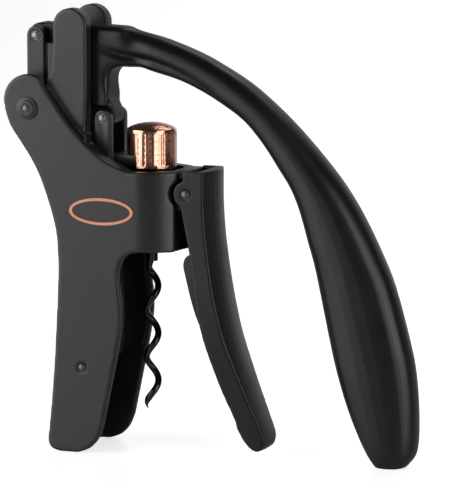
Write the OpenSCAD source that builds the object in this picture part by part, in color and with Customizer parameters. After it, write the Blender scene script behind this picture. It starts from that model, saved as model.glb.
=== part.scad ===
// Lever corkscrew: a hollow body with a grip and a bottle collar, a clamp lever,
// a sliding carriage that carries the worm, and a bent operating lever that lifts the carriage
// through two rocker links. Worm axis is on X = worm_x, Y = 0; the floor is Z = 0.

/* [Body] */
// Half depth of the body casting, worm axis to outer face
body_half = 20; // [17:0.5:23]
// Wall thickness of the body casting
wall = 3.5; // [2.5:0.1:4.5]
// Radius of the bore that takes the bottle neck
neck_r = 15.4; // [15:0.1:16]
// Height of the underside of the collar
collar_z = 90; // [86:1:94]
// Height of the top of the collar walls
body_top = 125; // [123:1:127]
// Outer radius of the collar's barrel, about the worm axis
barrel_r = 20; // [19:0.5:21]
// Radius of the round opening in the top plate
plate_hole_r = 14; // [12.5:0.1:14.5]

/* [Guide tower] */
// Inner face of each guide cheek, from the middle plane
cheek_in = 8.6; // [8.6:0.1:9]
// Thickness of each guide cheek
cheek_t = 6.4; // [5:0.1:6.8]

/* [Clamp lever] */
// Half width of the clamp lever
clamp_half = 13; // [12:0.5:14]
// Thickness of the clamp lever's walls
clamp_wall = 2.8; // [2:0.1:3]

/* [Carriage and worm] */
// Radius of the turned knob
knob_r = 10.9; // [9:0.1:12]
// Outer radius of the worm's coil
worm_or = 4; // [3.5:0.1:4]
// Radius of the worm's wire
wire_r = 1.4; // [1.2:0.1:1.5]
// Pitch of the worm's coil
pitch = 21; // [20:0.5:23]
// Radius of the pivot pins
pin_r = 2; // [1.8:0.1:2.2]

/* [Links and lever] */
// Half width of a rocker link
link_r = 4.2; // [3.8:0.1:4.4]
// Inner face of the links and the clevis ears
ear_in = 6.1; // [6.1:0.1:6.4]
// Outer face of the links and the clevis ears
ear_out = 10.4; // [9.6:0.1:10.6]
// Greatest half thickness of the lever's arm
arm_half = 12; // [10:0.5:13]

/* [Hidden] */
$fn = 64;
worm_x = -30.6;         // worm axis, so that the whole object is centred on X = 0
P1 = [-50.6, 151];     // rocker pivot on the body's ears
P2 = [-50.6, 182.2];   // rocker pivot on the lever's nose
P3 = [-19.3, 146.8];   // lever pivot in the carriage's clevis
PC = [20.7, 115.4];    // clamp lever pivot
run = 0.05;            // radial clearance of a running fit
tongue_r = 3.9;        // round end of the lever's tongue
bush_r = 2.8;          // outside of the tongue's bush
in_half = body_half - wall;

// Show one piece, or all of them

// ---- helpers ----
function crp(a, b, c, d, t) = 0.5 * ((2 * b) + (c - a) * t + (2 * a - 5 * b + 4 * c - d) * t * t
  + (3 * b - a - 3 * c + d) * t * t * t);
// smooth open curve through the points p, n steps per span
function curve(p, n = 3) = [for (i = [0 : len(p) - 2], k = [0 : n - 1])
  crp(p[max(i - 1, 0)], p[i], p[i + 1], p[min(i + 2, len(p) - 1)], k / n), p[len(p) - 1]];
function arc(c, r, a0, a1, n = 12) = [for (i = [0 : n]) c + r * [cos(a0 + (a1 - a0) * i / n), sin(a0 + (a1 - a0) * i / n)]];
// extrude an XZ drawing from y0 to y1
module slab(y0, y1) translate([worm_x, y1, 0]) rotate([90, 0, 0]) linear_extrude(y1 - y0) children();
// cylinder along Y through the XZ point p
module ycyl(p, r, y0, y1) translate([worm_x + p[0], y1, p[1]]) rotate([90, 0, 0]) cylinder(r = r, h = y1 - y0);
module zcyl(r, z0, z1) translate([worm_x, 0, z0]) cylinder(r = r, h = z1 - z0);
module both() { children(); mirror([0, 1, 0]) children(); }

// ---- body outline, seen from the front ----
ear_c = [-50.5, 154.6];
ear_r = 11.4;
grip_left = curve([[-61.4, 150.4], [-58.9, 143.4], [-54, 136.3], [-49.2, 129.3], [-45.4, 122.3], [-42.7, 115.5],
  [-40.3, 108.5], [-38.3, 101.5], [-37.1, 95], [-36.5, 83.2], [-36.8, 70.6], [-37.7, 54], [-38.6, 38.9], [-39.8, 24],
  [-41.3, 9]]);
grip_end = curve([[-41.3, 9], [-41.8, 4.6], [-40.2, 1.3], [-36.5, 0]]);
grip_tip = curve([[-27.5, 0], [-22.4, 2], [-18.4, 6.2], [-16, 11.8]]);
grip_right = curve([[-16, 11.8], [-14.1, 20.5], [-11.4, 33.3], [-8.6, 47], [-6.8, 59], [-6.9, 67], [-7.9, 74.5],
  [-8.3, 79.5], [-7.1, 84.8], [-4.2, 88.5], [1.4, collar_z]]);
body_upper = curve([[-2.9, body_top], [-8, 126.6], [-13.1, 128.9], [-18.2, 132.3], [-23.8, 137], [-29.2, 142.6],
  [-33, 147.2], [-36.6, 152], [-40.5, 157.4], [-44.6, 164.4]]);
module body_outline() polygon(concat(arc(ear_c, ear_r, 59, 199, 30), grip_left, grip_end, grip_tip, grip_right,
  [[18.5, collar_z]],
  [[18.5, body_top]], body_upper));
// cavity drawing: everything right of the left web, from the ears down to the grip's open side
module cavity() polygon(concat([[-70, 143.2], [-55.6, 143.2]],
  [for (i = [2 * 3 : len(grip_left) - 1]) grip_left[i] + [3.9, -0.4]],
  [[-38, 5], [-35, 3.6], [-32, 3.6], [-31, -1], [40, -1], [40, collar_z - 0.001], [40, 200], [-70, 200]]));

module main_body() color([0.30, 0.29, 0.29]) difference() {
  union() {
    difference() {
      slab(-body_half, body_half) body_outline();
      slab(-in_half, in_half) cavity();
    }
    // collar block, and the set-back ring behind the clamp lever
    slab(-in_half - 0.5, in_half + 0.5) polygon([[-18.9, collar_z], [15.5, collar_z], [15.5, 122], [-18.9, 122]]);
    intersection() {
      zcyl(18.2, collar_z + 0.5, 122);
      slab(-12.4, 12.4) polygon([[0, 80], [19, 80], [19, 130], [0, 130]]);
    }
    // rim of the collar beside the top plate
    difference() {
      slab(-in_half - 0.5, in_half + 0.5) polygon([[0, 121], [16.6, 121], [16.6, body_top], [0, body_top]]);
      zcyl(barrel_r - 2.2, 120, 131);
      slab(-9.8, 9.8) polygon([[0, 120], [30, 120], [30, 130], [0, 130]]);
    }
    // lug for the clamp lever's pin
    slab(-9.6, 9.6) polygon(concat([[12, 108], [18.2, 108]], arc(PC, 4.4, -60, 70, 14), [[15.9, 121.5], [12, 121.5]]));
  }
  // the collar's outside is a round barrel
  difference() {
    slab(-30, 30) polygon([[0, 80], [40, 80], [40, 140], [0, 140]]);
    zcyl(barrel_r, 79, 141);
  }
  // bottle neck bore, and the seats of the stop ring and the worm nut
  zcyl(neck_r, collar_z - 1, 112);
  zcyl(9, 111, 123);
  // scallops round the clamp lever's disc ends
  both() ycyl(PC, 7.2, 9.8, 30);
  // rocker, clamp and grip pin bores
  ycyl(P1, pin_r, -30, 30);
  ycyl(PC, pin_r, -30, 30);
  ycyl([-25.3, 37.9], 1.8, -30, 30);
  // open slot between the ears for the rocker
  slab(-in_half, in_half) polygon([[-80, 143.2], [-45, 143.2], [-45, 180], [-80, 180]]);
  // the carriage's shaft passes behind the collar block
  slab(-12, 12) polygon([[-34, 94], [-18.9, 94], [-18.9, 123], [-34, 123]]);
}

module top_plate() color([0.28, 0.27, 0.27]) difference() {
  slab(-in_half, in_half) polygon(concat([[-14, 122], [23, 122], [23, body_top + 0.5]],
    [for (i = [0 : 3 * 4]) body_upper[i] - [0, 0.3]], [[-23.6, 134.4], [-18.2, 129.6], [-14, 126.6]]));
  zcyl(plate_hole_r, 121, 130);
  // rounded outer end, clear of the clamp lever's walls
  difference() {
    slab(-20, 20) polygon([[5, 121], [30, 121], [30, 130], [5, 130]]);
    translate([worm_x + 2, 0, 120]) cylinder(r = barrel_r - 0.2, h = 12);
  }
  difference() {
    slab(-20, 20) polygon([[0, 121], [30, 121], [30, 130], [0, 130]]);
    zcyl(barrel_r - 2.25, 120, 131);
    slab(-9.7, 9.7) polygon([[0, 121], [30, 121], [30, 130], [0, 130]]);
  }
  both() slab(9.4, 30) polygon([[16.5, 120], [30, 120], [30, 130], [16.5, 130]]);
  // room for the carriage
  translate([worm_x - 25, -11, 120]) cube([15, 22, 20]);
}

// guide cheek: rounded top, and a flare that follows the body's upper edge
cheek_c = [-32.6, 187];
cheek_pts = concat(arc(cheek_c, 7.9, 0, 180, 24),
  curve([[-40.5, 180], [-41, 172], [-41.5, 167.4], [-42.5, 164.6], [-44, 163]], 4),
  [[-39.8, 156.8], [-36, 151.7], [-32.4, 147], [-28.2, 142.9], [-25.6, 141.2], [-24.7, 160]]);
module cheek() {
  slab(cheek_in, cheek_in + cheek_t) polygon(cheek_pts);
  // web that joins the cheek to its foot, and the foot inside the body wall, which shows as a ledge
  slab(cheek_in, cheek_in + cheek_t - 1) polygon([[-41.5, 163.6], [-36, 156.5], [-26.6, 147], [-26.6, 128], [-34, 132],
    [-41.5, 150]]);
  slab(cheek_in, in_half) polygon([[-43.2, 162], [-39.3, 156.7], [-35.4, 151.5], [-31.4, 146.4], [-27.2, 142.4],
    [-24.6, 140], [-24.2, 124], [-33, 124], [-36.5, 132], [-42, 143], [-44.8, 158]]);
}
module tower_rear() color([0.30, 0.29, 0.29]) cheek();
module tower_front() color([0.30, 0.29, 0.29]) mirror([0, 1, 0]) cheek();

// stud in the ear's bore, with a stepped washer under its end
module stud() ycyl(P1, pin_r, 11.2, 21.6);
module ear_washer_rear() color([0.28, 0.27, 0.27]) difference() {
  union() { ycyl(P1, 5, body_half, 20.7); ycyl(P1, 3.6, 20.6, 21.2); }
  ycyl(P1, pin_r, 15, 25);
}
module ear_washer_front() color([0.28, 0.27, 0.27]) mirror([0, 1, 0]) ear_washer_rear();
module ear_stud_rear() color([0.5, 0.5, 0.5]) stud();
module ear_stud_front() color([0.5, 0.5, 0.5]) mirror([0, 1, 0]) stud();
module grip_pin() color([0.5, 0.5, 0.5]) ycyl([-25.3, 37.9], 1.8, -body_half - 0.3, body_half + 0.3);

// liner of the grip: concave face that bears on the bottle neck
module neck_pad() color([0.06, 0.06, 0.06]) difference() {
  slab(-in_half, in_half) polygon([[-24, 44], [-10, 44], [-8.4, 52], [-7.6, 60], [-7.7, 67], [-8.8, 76], [-9, 84],
    [-8, 88], [-24, 88]]);
  zcyl(15, 30, 89);
}

module stop_ring() color([0.05, 0.05, 0.05]) difference() { zcyl(neck_r, 108, 112); zcyl(6, 107, 113); }
// nut that the worm's coil runs through, below a spring clip
module worm_nut() color([0.75, 0.74, 0.7]) difference() {
  union() { zcyl(9, 112, 118); zcyl(7, 118, 120); }
  zcyl(worm_or + 0.35, 111, 121);
}
module nut_clip() color([0.6, 0.6, 0.6]) difference() { zcyl(9, 118.1, 119.3); zcyl(7, 118, 120); }
module clamp_pin() color([0.5, 0.5, 0.5]) ycyl(PC, pin_r, -clamp_half - 0.4, clamp_half + 0.4);
// plain oval plaque on the front face
module badge() color([0.85, 0.55, 0.42]) translate([worm_x - 15.8, -body_half, 107.3]) rotate([90, 0, 0])
  linear_extrude(0.5) difference() { scale([1, 0.4]) circle(r = 15); scale([1, 0.34]) circle(r = 13.6); }

// ---- clamp lever ----
clamp_in = curve([[16.5, 108.5], [19.2, 106], [20.4, 99], [21.7, 93], [22.8, 86], [24.9, 70], [27.1, 57.2], [30.3, 46],
  [36, 30.3], [40.8, 19.6]]);
clamp_tip = curve([[40.8, 19.6], [43.2, 13.6], [45.7, 8.8], [48.6, 5.2], [51.6, 3.8], [54, 5.2], [54.8, 8], [54.4, 11]]);
clamp_out = curve([[54.4, 11], [49.9, 21.6], [44.8, 34], [38.2, 52], [33.8, 70], [30.8, 88], [29.4, 100],
  [28.7, 112], [28.7, 125.6]]);
module clamp_side() polygon(concat(arc(PC, 5.9, 104, 246, 18), [for (i = [6 : len(clamp_in) - 1]) clamp_in[i]],
  clamp_tip, clamp_out, [[19.4, 125.6]]));
// the clamp lever narrows towards its tip, seen from its back
module clamp_width(inset) translate([worm_x, 0, 0]) rotate([90, 0, 90]) linear_extrude(80)
  polygon([[-clamp_half + inset, 130], [-clamp_half + inset, 56], [-11.3 + inset, 40], [-9.4 + inset, 22],
    [-8.2 + inset, 9], [-7 + inset, 0], [7 - inset, 0], [8.2 - inset, 9], [9.4 - inset, 22], [11.3 - inset, 40],
    [clamp_half - inset, 56], [clamp_half - inset, 130]]);
module clamp_lever() color([0.30, 0.29, 0.29]) difference() {
  intersection() {
    slab(-clamp_half, clamp_half) clamp_side();
    clamp_width(0);
  }
  intersection() {
    slab(-clamp_half + clamp_wall, clamp_half - clamp_wall) polygon(concat([[10, 130], [10, 40], [28, 26],
      [41.6, 15.4], [48.9, 12.2]], [for (i = [1 : len(clamp_out) - 1]) clamp_out[i] - [2.9, 0.9]], [[25.8, 130]]));
    clamp_width(clamp_wall);
  }
  ycyl(PC, pin_r + run, -20, 20);
}
module clamp_pad() color([0.06, 0.06, 0.06]) difference() {
  slab(-clamp_half + clamp_wall, clamp_half - clamp_wall) polygon(concat(
    curve([[21.4, 89], [19.2, 87.2], [18.4, 84], [19.3, 79.4], [21.8, 69.5], [24.2, 62], [26.6, 56.5]]),
    [[31.9, 62], [30.2, 70], [27.3, 88], [27.2, 89]]));
  translate([worm_x + 1.5, 0, 50]) cylinder(r = 17.4, h = 50);
}

// ---- carriage ----
module carriage() color([0.16, 0.16, 0.16]) difference() {
  union() {
    slab(-6.8, 6.8) polygon([[-33, 97], [-19.8, 97], [-19.8, 126], [-3, 126], [-3, 131], [-23.6, 131], [-33, 121]]);
    both() slab(ear_in, ear_out) polygon(concat([[P3[0] + 3.6, 128], [P3[0] + 3.6, P3[1]]], arc(P3, 3.6, 0, 180, 20),
      [[P3[0] - 3.6, 128]]));
    both() slab(ear_in, ear_out) polygon([[P3[0] - 3.6, 126], [P3[0] + 3.6, 126], [P3[0] + 3.6, 131], [P3[0] - 3.6, 131]]);
    zcyl(8, 126, 131);
  }
  zcyl(5.1, 120, 140);
  ycyl(P3, pin_r, -20, 20);
}
// sliding shoes on both sides of the carriage, running between the guide cheeks
module slide_shoes() color([0.85, 0.84, 0.8]) both()
  slab(6.8, cheek_in - 0.3) polygon([[-32.5, 98], [-23.6, 98], [-23.6, 125], [-28, 125], [-32.5, 120]]);

module knob() color([0.78, 0.44, 0.31]) difference() {
  translate([worm_x, 0, 0]) rotate_extrude() polygon(concat([[0, 125], [knob_r - 0.8, 125], [knob_r, 125.8], [knob_r, 141.6],
    [knob_r - 0.3, 142.4]], [[knob_r - 1.4, 143.1], [knob_r - 4, 144.1], [knob_r - 7, 144.8], [0, 145.2]]));
  zcyl(5.1, 120, 143);
  zcyl(8, 124, 131);
  slab(-10.4, 10.4) polygon([[-30, 124], [-3, 124], [-3, 131], [-30, 131]]);
}
module clevis_pin() color([0.5, 0.5, 0.5]) ycyl(P3, pin_r, -ear_out - 0.3, ear_out + 0.3);
module worm_bearing() color([0.75, 0.74, 0.7]) difference() { zcyl(5.1, 126, 139.6); zcyl(2.5 + run, 125, 140); }

// ---- worm ----
coil_top = 86;
coil_len = 68;
coil_c = worm_or - wire_r;
steps = 120;  // rings along the coil
ring_n = 10;  // corners of a ring
// ring k of the coil: fades out from the axis at the top, and sharpens to a point at the lower end
function coil_ring(k) = let (t = k / steps, a = 360 * coil_len * t / pitch, r = coil_c * min(1, t * 9),
    w = wire_r * (t > 0.93 ? max(0.12, (1 - t) / 0.07) : 1), tilt = atan2(pitch, 6.2832 * coil_c))
  [for (j = [0 : ring_n - 1]) let (b = 360 * j / ring_n, u = w * cos(b), v = w * sin(b))
    [(r + u) * cos(a) - v * sin(tilt) * sin(a), -((r + u) * sin(a)) - v * sin(tilt) * cos(a),
     -coil_len * t + v * cos(tilt)]];
module worm_shank() color([0.05, 0.05, 0.05]) zcyl(2.5, 84, 142);
module worm() color([0.05, 0.05, 0.05]) translate([worm_x, 0, coil_top]) rotate(248) {
  polyhedron(points = concat([for (k = [0 : steps]) each coil_ring(k)]),
    faces = concat([[for (j = [ring_n - 1 : -1 : 0]) j]],
      [for (k = [0 : steps - 1], j = [0 : ring_n - 1]) let (a = k * ring_n + j, b = k * ring_n + (j + 1) % ring_n)
        [a, b, b + ring_n, a + ring_n]],
      [[for (j = [0 : ring_n - 1]) steps * ring_n + j]]));
}
module worm_head() color([0.5, 0.5, 0.5]) difference() { zcyl(4.5, 140, 142); zcyl(2.5, 139, 143); }
module worm_clip() color([0.5, 0.5, 0.5]) difference() { zcyl(4.5, 124.2, 125.6); zcyl(2.5, 124, 126); }

// ---- operating lever ----
// bell crank: nose at P2, tongue at P3, stem up to the root of the arm
module lever_hub() color([0.14, 0.14, 0.14]) difference() {
  union() {
    slab(-5.7, 5.7) polygon(concat(arc(P2, 5.2, 70, 235, 16), [[-44, 178.4], [-34, 177], [-29, 172], [-27.6, 160],
      [-26.4, 154], [-23.1, 150]], arc(P3, tongue_r, 180, 360, 20), [[-15.5, 150], [-18, 155], [-18, 163.5]],
      arc([-12.6, 163.9], 5.4, 180, 96, 8), [[-9, 169.6], [-9, 186.6],
      [-25, 187.2], [-40, 187.4]]));
    slab(-8, 8) polygon(concat([[-27.4, 153.8], [-22.5, 151.8], [-18, 151.8], [-18, 163.5]],
      arc([-12.6, 163.9], 5.4, 180, 96, 8), [[-9, 169.6], [-9, 186.2], [-24.6, 186.6], [-28.2, 182]]));
  }
  ycyl(P2, pin_r, -20, 20);
  ycyl(P3, bush_r, -20, 20);
}
module lever_bush() color([0.75, 0.74, 0.7]) difference() { ycyl(P3, bush_r, -5.9, 5.9); ycyl(P3, pin_r + run, -7, 7); }
module nose_pin() color([0.5, 0.5, 0.5]) ycyl(P2, pin_r, -ear_out - 0.3, ear_out + 0.3);

// arm stations: outer edge point, inner edge point, half thickness
outer_edge = [[-11, 186.8], [-2, 184.1], [8, 181.6], [22.2, 176.5], [32.8, 171.4], [45.7, 163.9], [57.5, 154.6], [68.5, 144.4],
  [79.5, 132.7], [89.6, 120.4], [98, 107.3], [106.2, 91.5], [112.4, 77], [119.4, 52.3], [121.9, 39], [123, 24.2],
  [122.9, 12], [121.6, 5], [118.2, 0.8]];
inner_edge = [[-11, 168], [-5, 168.9], [1.2, 167.3], [14, 163.9], [24, 159.7], [34, 154.3], [44.6, 147.2], [53.3, 137.5],
  [59.8, 128.1], [65.6, 119.4], [69.7, 109.7], [73.7, 96], [77.1, 84], [82.9, 57], [86.7, 41], [91.6, 25.5], [97.2, 12.2],
  [101.2, 4.6], [104, 0.8]];
half_t = [7.4, 7.6, 8, 8.2, 8.4, 8.8, 9.4, 10, 10.6, 11.2, 11.6, 12, 12, 12, 12, 11.6, 11, 10, 8.6];
arm_o = curve(outer_edge, 3);
arm_i = curve(inner_edge, 3);
arm_t = curve([for (t = half_t) t * arm_half / 12], 3);
arm_n = 28;
module lever_arm() color([0.13, 0.13, 0.13]) translate([worm_x, 0, 0]) {
  m = len(arm_o);
  polyhedron(points = [for (k = [0 : m - 1]) let (c = (arm_o[k] + arm_i[k]) / 2, d = (arm_o[k] - arm_i[k]) / 2)
      for (j = [0 : arm_n - 1]) let (b = 360 * j / arm_n, s = sign(cos(b)) * pow(abs(cos(b)), 0.8),
        q = sign(sin(b)) * pow(abs(sin(b)), 0.8), f = k == m - 1 ? 0.93 : 1)
        [c[0] + d[0] * s * f, arm_t[k] * q * f, k == m - 1 ? 0 : max(0.2, c[1] + d[1] * s)]],
    faces = concat([[for (j = [0 : arm_n - 1]) j]],
      [for (k = [0 : m - 2], j = [0 : arm_n - 1]) let (a = k * arm_n + j, b = k * arm_n + (j + 1) % arm_n)
        [a, a + arm_n, b + arm_n, b]],
      [[for (j = [arm_n - 1 : -1 : 0]) (m - 1) * arm_n + j]]));
}

// ---- rocker ----
module link() difference() {
  slab(ear_in, ear_out) polygon(concat(arc(P2, link_r, 0, 180, 20), arc(P1, link_r, 180, 360, 20)));
  ycyl(P2, pin_r + run, 0, 20);
  ycyl(P1, pin_r, 0, 20);
}
module link_rear() color([0.28, 0.27, 0.27]) link();
module link_front() color([0.28, 0.27, 0.27]) mirror([0, 1, 0]) link();
module rocker_pin() color([0.5, 0.5, 0.5]) ycyl(P1, pin_r, -ear_out, ear_out);
module rocker_spacer() color([0.4, 0.4, 0.4]) difference() { ycyl(P1, 3.4, -ear_in, ear_in); ycyl(P1, pin_r, -7, 7); }

main_body();
top_plate();
tower_front();
tower_rear();
ear_stud_front();
ear_stud_rear();
ear_washer_front();
ear_washer_rear();
grip_pin();
neck_pad();
stop_ring();
worm_nut();
nut_clip();
clamp_pin();
badge();
clamp_lever();
clamp_pad();
carriage();
slide_shoes();
knob();
clevis_pin();
worm_bearing();
worm();
worm_shank();
worm_head();
worm_clip();
lever_hub();
lever_arm();
lever_bush();
nose_pin();
link_front();
link_rear();
rocker_pin();
rocker_spacer();
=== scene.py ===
import math

import bpy
from mathutils import Matrix, Vector


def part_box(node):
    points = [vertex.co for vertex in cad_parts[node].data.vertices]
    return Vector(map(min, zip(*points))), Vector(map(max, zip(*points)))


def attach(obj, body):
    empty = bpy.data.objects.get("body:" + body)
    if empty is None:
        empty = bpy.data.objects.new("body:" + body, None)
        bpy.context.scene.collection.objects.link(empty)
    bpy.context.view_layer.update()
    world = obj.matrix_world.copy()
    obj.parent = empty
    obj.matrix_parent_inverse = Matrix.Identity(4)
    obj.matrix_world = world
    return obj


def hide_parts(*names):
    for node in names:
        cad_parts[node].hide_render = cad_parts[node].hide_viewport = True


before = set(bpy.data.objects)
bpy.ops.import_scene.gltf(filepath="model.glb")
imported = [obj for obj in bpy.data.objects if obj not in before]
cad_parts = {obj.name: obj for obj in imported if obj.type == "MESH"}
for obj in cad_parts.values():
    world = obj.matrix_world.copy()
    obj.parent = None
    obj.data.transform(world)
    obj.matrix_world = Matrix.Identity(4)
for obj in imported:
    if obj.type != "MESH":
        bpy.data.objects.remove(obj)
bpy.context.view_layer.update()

# ---- Camera --------------------------------------------------------------------------------------
# A long lens from the right and a little above, level, as for a catalogue picture. It is aimed at
# the middle of the object's width and just under the middle of its height.
MM = 0.001
AZIMUTH, ELEVATION, DISTANCE = math.radians(21), math.radians(8.2), 1.8
AIM = Vector((8 * MM, 0, 94.1 * MM))
back = Vector((math.sin(AZIMUTH) * math.cos(ELEVATION), -math.cos(AZIMUTH) * math.cos(ELEVATION),
               math.sin(ELEVATION)))
camera_data = bpy.data.cameras.new("camera")
camera = bpy.data.objects.new("camera", camera_data)
bpy.context.collection.objects.link(camera)
camera.location = AIM + DISTANCE * back
camera.rotation_euler = back.to_track_quat("Z", "Y").to_euler()
camera_data.sensor_fit = "HORIZONTAL"
camera_data.sensor_width = 36
camera_data.lens = 317.8
camera_data.clip_end = 20
bpy.context.scene.camera = camera
bpy.context.scene.view_settings.view_transform = "Standard"

# ---- Studio --------------------------------------------------------------------------------------
# A white sweep and a white wall behind it, with the rest of the room dark. Two large softboxes,
# left and right, give the satin lacquer its broad highlights, with dark bands between them, and a
# third lights the back.


def linear(code):
    """An sRGB hex colour as linear RGBA."""
    out = []
    for i in (1, 3, 5):
        c = int(code[i:i + 2], 16) / 255
        out.append(c / 12.92 if c <= 0.04045 else ((c + 0.055) / 1.055) ** 2.4)
    return (*out, 1.0)


def add(tree, kind, settings=None, links=None):
    """Adds a node, sets its sockets or properties, and links its inputs from the given outputs."""
    n = tree.nodes.new(kind)
    for key, value in (settings or {}).items():
        if key in n.inputs:
            n.inputs[key].default_value = value
        else:
            setattr(n, key, value)
    for key, source in (links or {}).items():
        tree.links.new(source, n.inputs[key])
    return n


def empty_material(name):
    m = bpy.data.materials.new(name)
    m.use_nodes = True
    m.node_tree.nodes.clear()
    return m, m.node_tree


bpy.ops.object.select_all(action="DESELECT")
bpy.ops.mesh.primitive_plane_add(size=8, location=(0, 0, 0))
sweep = bpy.context.object
sweep.name = "studio_floor"
# Coated paper that stays white to the eye, while it throws little light on the object: faint soft
# reflections.
paper, t = empty_material("coated_white_paper")
cloud = add(t, "ShaderNodeTexNoise", {"Scale": 1 / 0.3, "Detail": 3.0},
            {"Vector": add(t, "ShaderNodeTexCoord").outputs["Object"]})
tone = add(t, "ShaderNodeMix", {"data_type": "RGBA", "A": linear("#F4F4F4"), "B": linear("#FAFAFA")},
           {"Factor": cloud.outputs["Fac"]})
direct = add(t, "ShaderNodeMapRange", {"To Min": 0.0, "To Max": 0.72},
             {"Value": add(t, "ShaderNodeLightPath").outputs["Is Camera Ray"]})
sheet = add(t, "ShaderNodeBsdfPrincipled",
            {"Roughness": 0.22, "IOR": 1.45, "Emission Color": (1, 1, 1, 1)},
            {"Base Color": tone.outputs["Result"], "Emission Strength": direct.outputs["Result"]})
add(t, "ShaderNodeOutputMaterial", {}, {"Surface": sheet.outputs["BSDF"]})
sweep.data.materials.append(paper)

world = bpy.data.worlds.new("studio")
bpy.context.scene.world = world
world.use_nodes = True
world.node_tree.nodes.clear()
t = world.node_tree
side = add(t, "ShaderNodeSeparateXYZ", {},
           {"Vector": add(t, "ShaderNodeTexCoord").outputs["Generated"]})
wall = add(t, "ShaderNodeMapRange",
           {"From Min": 0.86, "From Max": 0.98, "To Min": 0.05, "To Max": 1.0},
           {"Value": side.outputs["Y"]})
seen = add(t, "ShaderNodeMix", {"B": 1.0},
           {"Factor": add(t, "ShaderNodeLightPath").outputs["Is Camera Ray"],
            "A": wall.outputs["Result"]})
room = add(t, "ShaderNodeBackground", {"Color": (1, 1, 1, 1)}, {"Strength": seen.outputs["Result"]})
add(t, "ShaderNodeOutputWorld", {}, {"Surface": room.outputs["Background"]})


def softbox(name, azimuth, elevation, distance, width, height, radiance):
    """A softbox facing the object from an azimuth and elevation in degrees, in metres."""
    data = bpy.data.lights.new(name, "AREA")
    data.shape = "RECTANGLE"
    data.size, data.size_y = width, height
    data.energy = radiance * math.pi * width * height
    a, e = math.radians(azimuth), math.radians(elevation)
    way = Vector((math.sin(a) * math.cos(e), -math.cos(a) * math.cos(e), math.sin(e)))
    lamp = bpy.data.objects.new(name, data)
    bpy.context.collection.objects.link(lamp)
    lamp.location = Vector((0, 0, 0.1)) + distance * way
    lamp.rotation_euler = way.to_track_quat("Z", "Y").to_euler()
    lamp.visible_camera = False


softbox("softbox_left", -50, 12, 1.5, 1.5, 1.1, 3.8)
softbox("softbox_right", 70, 12, 1.5, 1.0, 1.1, 3.7)
softbox("softbox_back", 172, 48, 1.7, 1.0, 0.6, 1.6)

# ---- Body casting --------------------------------------------------------------------------------
# One zinc die casting: the hollow grip, the collar, and the two ears that the rocker turns in. It
# is blasted, then sprayed with a satin black lacquer, so every edge is a little round.
PEEL = 0.5


def satin_lacquer(name, dark, light, rough, coat, ior):
    """Sprayed satin lacquer on die-cast metal: near black, finely grained like soft leather, with
    the spray's slow unevenness in its sheen, and a painted highlight that lightens its sharper
    convex edges."""
    m, t = empty_material(name)
    place = add(t, "ShaderNodeTexCoord").outputs["Object"]
    spray = add(t, "ShaderNodeTexNoise", {"Scale": 1 / (26 * MM), "Detail": 4.0, "Roughness": 0.55},
                {"Vector": place})
    peel = add(t, "ShaderNodeTexNoise", {"Scale": 1 / (PEEL * MM), "Detail": 3.0, "Roughness": 0.6},
               {"Vector": place})
    tone = add(t, "ShaderNodeValToRGB", {}, {"Fac": spray.outputs["Fac"]})
    first, last = tone.color_ramp.elements
    first.position, last.position = 0.3, 0.7
    first.color, last.color = linear(dark), linear(light)
    # Painted highlight: where the surface is pointiest, on convex edges, the colour is mixed towards
    # a lighter grey, standing in for the light that rounded edges catch.
    edge_highlight = add(t, "ShaderNodeMapRange",
                 {"From Min": 0.53, "From Max": 0.64, "To Min": 0.0, "To Max": 0.3},
                 {"Value": add(t, "ShaderNodeNewGeometry").outputs["Pointiness"]})
    colour = add(t, "ShaderNodeMix", {"data_type": "RGBA", "B": linear("#45413F")},
                 {"Factor": edge_highlight.outputs["Result"], "A": tone.outputs["Color"]})
    sheen = add(t, "ShaderNodeMapRange",
                {"From Min": 0.35, "From Max": 0.65, "To Min": rough - 0.04, "To Max": rough + 0.05},
                {"Value": spray.outputs["Fac"]})
    grain = add(t, "ShaderNodeBump", {"Strength": 0.22, "Distance": 0.03 * MM},
                {"Height": peel.outputs["Fac"]})
    film = add(t, "ShaderNodeBsdfPrincipled",
               {"IOR": ior, "Coat Weight": coat, "Coat Roughness": 0.25},
               {"Base Color": colour.outputs["Result"], "Roughness": sheen.outputs["Result"],
                "Normal": grain.outputs["Normal"]})
    add(t, "ShaderNodeOutputMaterial", {}, {"Surface": film.outputs["BSDF"]})
    return m


def raw_copy(node):
    """A merged copy of a CAD node's mesh, with its flats made whole again, left selected and
    active."""
    bpy.ops.object.select_all(action="DESELECT")
    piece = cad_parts[node].copy()
    piece.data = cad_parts[node].data.copy()
    piece.name = node + "_finished"
    piece.parent = None
    piece.matrix_world = Matrix.Identity(4)
    piece.data.materials.clear()
    bpy.context.collection.objects.link(piece)
    bpy.context.view_layer.objects.active = piece
    piece.select_set(True)
    bpy.ops.object.mode_set(mode="EDIT")
    bpy.ops.mesh.select_all(action="SELECT")
    bpy.ops.mesh.remove_doubles(threshold=0.002 * MM)
    bpy.ops.mesh.dissolve_limited(angle_limit=math.radians(0.6))
    bpy.ops.object.mode_set(mode="OBJECT")
    return piece


def round_edges(piece, edge, segments=3, sharp=32):
    """Rounds every edge that turns by more than sharp degrees, by edge mm."""
    if edge:
        bevel = piece.modifiers.new("edge", "BEVEL")
        bevel.width = edge * MM
        bevel.segments = segments
        bevel.limit_method = "ANGLE"
        bevel.angle_limit = math.radians(sharp)
        bpy.ops.object.modifier_apply(modifier="edge")
    bpy.ops.object.shade_smooth_by_angle(angle=math.radians(38))


def cast_skin(piece, grid, passes):
    """Gives a casting its even skin on a grid of so many mm, with edges and corners rounded by a
    few passes."""
    skin = piece.modifiers.new("skin", "REMESH")
    skin.mode = "VOXEL"
    skin.voxel_size = grid * MM
    bpy.ops.object.modifier_apply(modifier="skin")
    soft = piece.modifiers.new("soft", "SMOOTH")
    soft.factor, soft.iterations = 0.5, passes
    bpy.ops.object.modifier_apply(modifier="soft")
    bpy.ops.object.shade_smooth()


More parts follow.
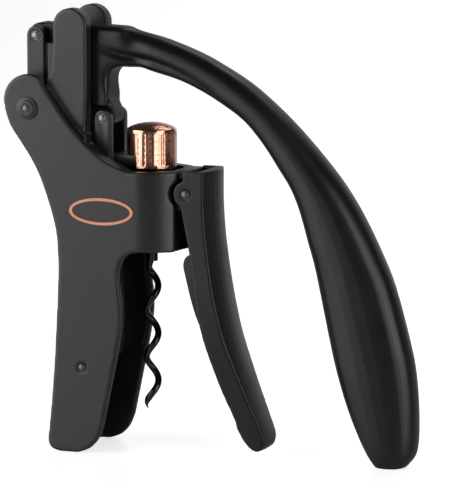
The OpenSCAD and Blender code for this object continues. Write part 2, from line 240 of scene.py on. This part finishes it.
def bore(piece, pin, radius):
    """Opens the skin again round a pin that runs along Y: what is nearer than radius mm moves out
    to it."""
    low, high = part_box(pin)
    x, z = (low[0] + high[0]) / 2, (low[2] + high[2]) / 2
    for v in piece.data.vertices:
        away = math.hypot(v.co.x - x, v.co.z - z)
        if away < radius * MM:
            v.co.x = x + (v.co.x - x) * radius * MM / max(away, 1e-6)
            v.co.z = z + (v.co.z - z) * radius * MM / max(away, 1e-6)


def stand_for(piece, body, material, slot, *cad_nodes):
    piece.data.materials.append(material)
    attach(piece, body)
    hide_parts(*cad_nodes)


def dress(node, body, material, slot, edge, segments=3):
    """The finished piece that stands for a CAD node: its rounded copy, in its material, on its
    body."""
    piece = raw_copy(node)
    round_edges(piece, edge, segments)
    stand_for(piece, body, material, slot, node)


body_lacquer = satin_lacquer("satin_black_lacquer", "#171515", "#1D1B1B", 0.40, 0.10, 1.52)
casting = raw_copy("main_body")
cast_skin(casting, 0.6, 9)
bore(casting, "ear_stud_front", 2.0)
bore(casting, "clamp_pin", 2.15)
stand_for(casting, "body", body_lacquer, "satin_black", "main_body")

# ---- Top plate -----------------------------------------------------------------------------------
# A lacquered steel plate let into the collar round the knob, and up between the ears along the
# body's edge. Its end is squarer towards the sides, where it lies between the clamp lever's walls.
SQUARED, END_HALF, END_LENGTH = 0.9, 9.4, 6
plate = raw_copy("top_plate")
low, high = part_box("top_plate")
for v in plate.data.vertices:
    past = (v.co.x - high[0] + END_LENGTH * MM) / (END_LENGTH * MM)
    if past > 0:
        v.co.x += SQUARED * MM * min(1, (v.co.y / (END_HALF * MM)) ** 2) * past
round_edges(plate, 0.4)
stand_for(plate, "body", body_lacquer, "satin_black", "top_plate")

# ---- Guide cheeks --------------------------------------------------------------------------------
# Two die-cast cheeks that stand on the body and guide the carriage between them. They are
# lacquered like it, with round tops and soft edges.
for node in ("tower_front", "tower_rear"):
    cheek = raw_copy(node)
    cast_skin(cheek, 0.4, 14)
    stand_for(cheek, "body", body_lacquer, "satin_black", node)

# ---- Ear studs -----------------------------------------------------------------------------------
# The rocker's studs, turned from steel and blacked, each pressed into an ear through a lacquered
# stepped washer.
for node in ("ear_washer_front", "ear_washer_rear"):
    dress(node, "body", body_lacquer, "satin_black", 0.3)


def steel_of(name, dark, light, rough):
    """Turned or zinc-plated steel: grey, with the lathe's fine circles too small to see one by
    one, so its roughness and tone waver a little instead."""
    m, t = empty_material(name)
    place = add(t, "ShaderNodeTexCoord").outputs["Object"]
    turn = add(t, "ShaderNodeTexNoise", {"Scale": 1 / (0.4 * MM), "Detail": 4.0}, {"Vector": place})
    tone = add(t, "ShaderNodeMix", {"data_type": "RGBA", "A": linear(dark), "B": linear(light)},
               {"Factor": turn.outputs["Fac"]})
    sheen = add(t, "ShaderNodeMapRange", {"To Min": rough - 0.08, "To Max": rough + 0.08},
                {"Value": turn.outputs["Fac"]})
    relief = add(t, "ShaderNodeBump", {"Strength": 0.2, "Distance": 0.02 * MM},
                 {"Height": turn.outputs["Fac"]})
    metal = add(t, "ShaderNodeBsdfPrincipled", {"Metallic": 1.0},
                {"Base Color": tone.outputs["Result"], "Roughness": sheen.outputs["Result"],
                 "Normal": relief.outputs["Normal"]})
    add(t, "ShaderNodeOutputMaterial", {}, {"Surface": metal.outputs["BSDF"]})
    return m


# Each step across a pin's end: its width as a share of half the radius, and its rise in mm.
RIM, GROOVE, FLOOR = (0.16, 0), (0.03, -0.3), (0.2, 0)
SHOULDER, HEAD, DOME = (0.03, 0.34), (0.25, 0.16), (0.45, 0.08)


def riveted(node, body, material, radius):
    """A pin whose two ends are turned: a rim, a groove, and a low domed head inside it."""
    pin = raw_copy(node)
    bpy.ops.object.mode_set(mode="EDIT")
    for side in (-1, 1):
        bpy.ops.mesh.select_all(action="DESELECT")
        bpy.ops.object.mode_set(mode="OBJECT")
        for f in pin.data.polygons:
            f.select = f.normal.y * side > 0.9
        bpy.ops.object.mode_set(mode="EDIT")
        bpy.ops.mesh.dissolve_limited(angle_limit=math.radians(1))
        for width, rise in (RIM, GROOVE, FLOOR, SHOULDER, HEAD, DOME):
            bpy.ops.mesh.inset(thickness=width * radius / 2 * MM, depth=rise * MM)
    bpy.ops.object.mode_set(mode="OBJECT")
    bpy.ops.object.shade_smooth_by_angle(angle=math.radians(38))
    stand_for(pin, body, material, "pin_steel", node)


blacked_steel = steel_of("blacked_turned_steel", "#565453", "#6A6867", 0.32)
for node in ("ear_stud_front", "ear_stud_rear"):
    riveted(node, "body", blacked_steel, 2)

# ---- Badge ---------------------------------------------------------------------------------------
# A plain oval ring of copper-coloured foil, hot-stamped on the front of the body. Its tone and
# sheen are even, apart from the press's faint mottle.
foil, t = empty_material("rose_copper_foil")
place = add(t, "ShaderNodeTexCoord").outputs["Object"]
press = add(t, "ShaderNodeTexNoise", {"Scale": 1 / (0.7 * MM), "Detail": 3.0}, {"Vector": place})
tone = add(t, "ShaderNodeMix", {"data_type": "RGBA", "A": linear("#C58468"), "B": linear("#DDA085")},
           {"Factor": press.outputs["Fac"]})
metal = add(t, "ShaderNodeBsdfPrincipled", {"Metallic": 0.6, "Roughness": 0.45},
            {"Base Color": tone.outputs["Result"]})
add(t, "ShaderNodeOutputMaterial", {}, {"Surface": metal.outputs["BSDF"]})
dress("badge", "body", foil, "copper", 0.08, 1)

# ---- Grip fittings -------------------------------------------------------------------------------
# A cross pin that ties the grip's two walls, the rubber pad that meets the bottle's neck, the
# stop ring that rests on its rim, and the white acetal nut that the worm screws through, with its
# steel clip.
riveted("grip_pin", "body", blacked_steel, 1.8)


def moulded(name, dark, light, rough, grain_mm, relief_mm, ior=1.5):
    """A moulded rubber or plastic: an even colour with the mould's fine grain in its surface."""
    m, t = empty_material(name)
    place = add(t, "ShaderNodeTexCoord").outputs["Object"]
    grain = add(t, "ShaderNodeTexNoise", {"Scale": 1 / (grain_mm * MM), "Detail": 3.0},
                {"Vector": place})
    tone = add(t, "ShaderNodeMix", {"data_type": "RGBA", "A": linear(dark), "B": linear(light)},
               {"Factor": grain.outputs["Fac"]})
    sheen = add(t, "ShaderNodeMapRange", {"To Min": rough - 0.06, "To Max": rough + 0.08},
                {"Value": grain.outputs["Fac"]})
    bump = add(t, "ShaderNodeBump", {"Strength": 0.4, "Distance": relief_mm * MM},
               {"Height": grain.outputs["Fac"]})
    solid = add(t, "ShaderNodeBsdfPrincipled", {"IOR": ior},
                {"Base Color": tone.outputs["Result"], "Roughness": sheen.outputs["Result"],
                 "Normal": bump.outputs["Normal"]})
    add(t, "ShaderNodeOutputMaterial", {}, {"Surface": solid.outputs["BSDF"]})
    return m


# The neck pad's rubber is drawn near pure black: painted shade for the hollow of the grip that it
# sits in. The clamp pad further down takes a lighter copy of the same rubber.
rubber = moulded("nitrile_rubber_painted_shade", "#030303", "#060505", 0.8, 0.5, 0.06, 1.3)
nylon = moulded("black_nylon", "#0D0D0D", "#141313", 0.45, 0.6, 0.03)
acetal = moulded("white_acetal", "#D9D6CD", "#E4E1D9", 0.42, 0.8, 0.02)
plated_steel = steel_of("zinc_plated_steel", "#757371", "#8B8987", 0.34)
dress("neck_pad", "body", rubber, "black_rubber", 0.7)
dress("stop_ring", "body", nylon, "black_plastic", 0.4)
dress("worm_nut", "body", acetal, "white_plastic", 0.2)
dress("nut_clip", "body", plated_steel, "pin_steel", 0.15, 2)

# ---- Carriage ------------------------------------------------------------------------------------
# A lacquered casting that slides up and down between the cheeks on two acetal shoes. Its two eyes
# stand either side of the lever's tongue, and a steel pin joins them.
carriage_lacquer = satin_lacquer("satin_jet_lacquer", "#141212", "#1A1818", 0.38, 0.10, 1.52)
dress("carriage", "carriage", carriage_lacquer, "lever_black", 0.7)
dress("slide_shoes", "carriage", acetal, "white_plastic", 0.1, 2)
riveted("clevis_pin", "carriage", plated_steel, 2)
dress("worm_bearing", "carriage", acetal, "white_plastic", 0.2, 2)

# ---- Knob ----------------------------------------------------------------------------------------
# A turned copper cap over the worm's bearing, with a small chamfer and a slightly domed top. The
# lathe leaves fine circles all the way up, drawn coarser than they are so that they show.
CIRCLES, STREAKS, SLICE = 0.55, 0.9, 1.4
turned_copper, t = empty_material("turned_copper")
place = add(t, "ShaderNodeTexCoord").outputs["Object"]
level = add(t, "ShaderNodeSeparateXYZ", {}, {"Vector": place})
# A wave node's bands repeat every 0.314 of a unit, divided by its scale.
circles = add(t, "ShaderNodeTexWave",
              {"bands_direction": "Z", "Scale": 0.314 / (CIRCLES * MM), "Distortion": 0.4,
               "Detail": 2.0}, {"Vector": place})
bands = add(t, "ShaderNodeTexNoise",
            {"noise_dimensions": "1D", "Scale": 1 / (STREAKS * MM), "Detail": 5.0,
             "Roughness": 0.7}, {"W": level.outputs["Z"]})
tone = add(t, "ShaderNodeMix", {"data_type": "RGBA", "A": linear("#B8694F"), "B": linear("#F6C6AE")},
           {"Factor": bands.outputs["Fac"]})
sheen = add(t, "ShaderNodeMapRange",
            {"From Min": 0.3, "From Max": 0.7, "To Min": 0.10, "To Max": 0.22},
            {"Value": bands.outputs["Fac"]})
height = add(t, "ShaderNodeMath", {"operation": "ADD"},
             {0: circles.outputs["Fac"], 1: bands.outputs["Fac"]})
cut = add(t, "ShaderNodeBump", {"Strength": 0.9, "Distance": 0.04 * MM},
          {"Height": height.outputs["Value"]})
metal = add(t, "ShaderNodeBsdfPrincipled", {"Metallic": 1.0},
            {"Base Color": tone.outputs["Result"], "Roughness": sheen.outputs["Result"],
             "Normal": cut.outputs["Normal"]})
add(t, "ShaderNodeOutputMaterial", {}, {"Surface": metal.outputs["BSDF"]})
knob = raw_copy("knob")
low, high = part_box("knob")
bpy.ops.object.mode_set(mode="EDIT")
for step in range(1, 12):
    bpy.ops.mesh.select_all(action="SELECT")
    bpy.ops.mesh.bisect(plane_co=(0, 0, low[2] + SLICE * MM * step), plane_no=(0, 0, 1))
bpy.ops.object.mode_set(mode="OBJECT")
round_edges(knob, 0.25)
stand_for(knob, "carriage", turned_copper, "copper", "knob")

# ---- Worm ----------------------------------------------------------------------------------------
# Steel wire wound into an open coil and ground to a point, on a straight shank, all coated with a
# slippery black fluoropolymer. The coil's copy is subdivided so that the wire is round, and first
# thickened by what that takes off.
WIRE_ROUNDING = 0.14
slip_coat, t = empty_material("black_fluoropolymer_coating")
place = add(t, "ShaderNodeTexCoord").outputs["Object"]
film = add(t, "ShaderNodeTexNoise", {"Scale": 1 / (0.6 * MM), "Detail": 3.0}, {"Vector": place})
tone = add(t, "ShaderNodeMix", {"data_type": "RGBA", "A": linear("#040404"), "B": linear("#080808")},
           {"Factor": film.outputs["Fac"]})
sheen = add(t, "ShaderNodeMapRange", {"To Min": 0.10, "To Max": 0.22},
            {"Value": film.outputs["Fac"]})
coat = add(t, "ShaderNodeBsdfPrincipled",
           {"IOR": 1.42, "Coat Weight": 0.4, "Coat Roughness": 0.12},
           {"Base Color": tone.outputs["Result"], "Roughness": sheen.outputs["Result"]})
add(t, "ShaderNodeOutputMaterial", {}, {"Surface": coat.outputs["BSDF"]})

coil = raw_copy("worm")
wire = coil.modifiers.new("wire", "DISPLACE")
wire.strength, wire.mid_level = WIRE_ROUNDING * MM, 0
bpy.ops.object.modifier_apply(modifier="wire")
finer = coil.modifiers.new("finer", "SUBSURF")
finer.levels = finer.render_levels = 2
bpy.ops.object.modifier_apply(modifier="finer")
bpy.ops.object.shade_smooth()
stand_for(coil, "worm", slip_coat, "worm_coating", "worm")
dress("worm_shank", "worm", slip_coat, "worm_coating", 0)
dress("worm_head", "worm", plated_steel, "pin_steel", 0.15, 2)
dress("worm_clip", "worm", plated_steel, "pin_steel", 0.15, 2)

# ---- Lever ---------------------------------------------------------------------------------------
# One zinc casting: the hub between the cheeks, its tongue down to the carriage, and the long
# curved arm. The arm's root carries a crease on each side that fades out along it. Hub and arm are
# joined and remeshed into one skin.
CREASE_DEPTH, CREASE_WIDTH = 2.1, 2.6
worm_low, worm_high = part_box("worm_shank")
WORM_X = (worm_low[0] + worm_high[0]) / 2 / MM
CREASE = [(-19.1, 176.2), (-11.6, 174.4), (2.4, 172.2), (12, 169.3), (21.1, 165.4), (33, 158.6)]
ROOT, ROOT_REACH, ROOT_FADE = (-15, 177), 16, 6

arm = raw_copy("lever_arm")
hub = raw_copy("lever_hub")
arm.select_set(True)
bpy.context.view_layer.objects.active = hub
bpy.ops.object.join()
lever = bpy.context.object
lever.name = "lever_casting"
cast_skin(lever, 0.5, 10)
melt = lever.vertex_groups.new(name="root")
for v in lever.data.vertices:
    away = math.hypot(v.co.x / MM - WORM_X - ROOT[0], (v.co.z / MM - ROOT[1]) * 0.8)
    if away < ROOT_REACH:
        melt.add([v.index], min(1, (ROOT_REACH - away) / ROOT_FADE), "REPLACE")
blend = lever.modifiers.new("blend", "SMOOTH")
blend.factor, blend.iterations, blend.vertex_group = 0.5, 200, "root"
bpy.ops.object.modifier_apply(modifier="blend")
lever.vertex_groups.clear()


def near_path(path, x, z):
    """How far a place is from a path of straight steps, and how far along the path its nearest
    point is, 0 to 1."""
    best = (1e9, 0)
    for i in range(len(path) - 1):
        (ax, az), (bx, bz) = path[i], path[i + 1]
        run = ((x - ax) * (bx - ax) + (z - az) * (bz - az)) / ((bx - ax) ** 2 + (bz - az) ** 2)
        run = max(0, min(1, run))
        away = math.hypot(x - ax - run * (bx - ax), z - az - run * (bz - az))
        best = min(best, (away, (i + run) / (len(path) - 1)))
    return best


for v in lever.data.vertices:
    away, along = near_path(CREASE, v.co.x / MM - WORM_X, v.co.z / MM)
    if away < 3 * CREASE_WIDTH:
        fade = min(1, 4 * along + 0.3) * (1 - along) ** 0.45
        deep = CREASE_DEPTH * math.exp(-(away / CREASE_WIDTH) ** 2 * 2) * fade
        v.co.y -= math.copysign(deep * MM, v.co.y) * min(1, abs(v.co.y) / (3 * MM))
even = lever.modifiers.new("even", "SMOOTH")
even.factor, even.iterations = 0.5, 2
bpy.ops.object.modifier_apply(modifier="even")
bpy.ops.object.shade_smooth()
# The lever's lacquer is the body's satin black drawn darker and less glossy: painted shade, so that
# the lever and the clamp lever read darker than the body.
shade_darkened_lacquer = satin_lacquer("satin_lacquer_painted_darker", "#0C0B0B", "#110F0F", 0.38, 0.02, 1.44)
bore(lever, "clevis_pin", 2.8)
bore(lever, "nose_pin", 2.0)
stand_for(lever, "lever", shade_darkened_lacquer, "lever_black", "lever_hub", "lever_arm")
dress("lever_bush", "lever", acetal, "white_plastic", 0.15, 2)
riveted("nose_pin", "lever", plated_steel, 2)

# ---- Rocker --------------------------------------------------------------------------------------
# Two lacquered links that join the lever's nose to the ears, with the steel pin they turn on and
# the sleeve that keeps them apart.
for node in ("link_front", "link_rear"):
    link = raw_copy(node)
    cast_skin(link, 0.3, 8)
    bore(link, "nose_pin", 2.05)
    bore(link, "rocker_pin", 2.0)
    stand_for(link, "rocker", carriage_lacquer, "lever_black", node)
dress("rocker_pin", "rocker", plated_steel, "pin_steel", 0.3)
dress("rocker_spacer", "rocker", blacked_steel, "pin_steel", 0.3)

# ---- Clamp lever ---------------------------------------------------------------------------------
# A lacquered casting, a channel in section, hinged in the collar's side. Its back is slightly
# crowned between two rounded edges, and a rubber pad inside it grips the bottle's neck.
CROWN, TIP = 2.6, 14
WIDTHS = [(-40, 3), (0, 7), (9, 8.2), (22, 9.4), (40, 11.3), (56, 13), (200, 13)]
clamp = raw_copy("clamp_lever")
low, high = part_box("clamp_lever")
half = high[1]
bpy.ops.object.mode_set(mode="EDIT")
for share in (-0.86, -0.6, -0.3, 0, 0.3, 0.6, 0.86):
    bpy.ops.mesh.select_all(action="SELECT")
    bpy.ops.mesh.bisect(plane_co=(0, share * half, 0), plane_no=(0, 1, 0))
bpy.ops.object.mode_set(mode="OBJECT")
back_faces = [f for f in clamp.data.polygons if abs(f.normal.y) < 0.3
              and (f.normal.x > 0.5 or f.center.z < TIP * MM and f.normal.z < -0.3)]
crowned = {i: f.normal.copy() for f in back_faces for i in f.vertices}
for i, way in crowned.items():
    v = clamp.data.vertices[i]
    v.co += way * CROWN * (0.25 + 0.75 * v.co.z / high[2]) * MM * (1 - (v.co.y / half) ** 2)
cast_skin(clamp, 0.5, 9)


def half_width(z):
    """Half the clamp lever's width at a height, both in mm: it narrows in straight steps towards
    the tip."""
    for (z0, w0), (z1, w1) in zip(WIDTHS, WIDTHS[1:]):
        if z < z1:
            return w0 + (w1 - w0) * (z - z0) / (z1 - z0)
    return WIDTHS[-1][1]


# The steps are evened out into one curve.
for v in clamp.data.vertices:
    z = v.co.z / MM
    v.co.y *= sum(half_width(z + 2 * k) for k in range(-8, 9)) / 17 / half_width(z)
bore(clamp, "clamp_pin", 2.05)
# The clamp lever takes the lever's darker lacquer too: painted shade on its front face.
stand_for(clamp, "clamp", shade_darkened_lacquer, "satin_black", "clamp_lever")
# The same rubber as the neck pad's, in a lighter tone; the neck pad's near-black copy is painted
# shade.
pad_rubber = moulded("nitrile_rubber_own_tone", "#0D0C0C", "#151313", 0.55, 0.5, 0.05)
dress("clamp_pad", "clamp", pad_rubber, "black_rubber", 0.8)
riveted("clamp_pin", "body", blacked_steel, 2)
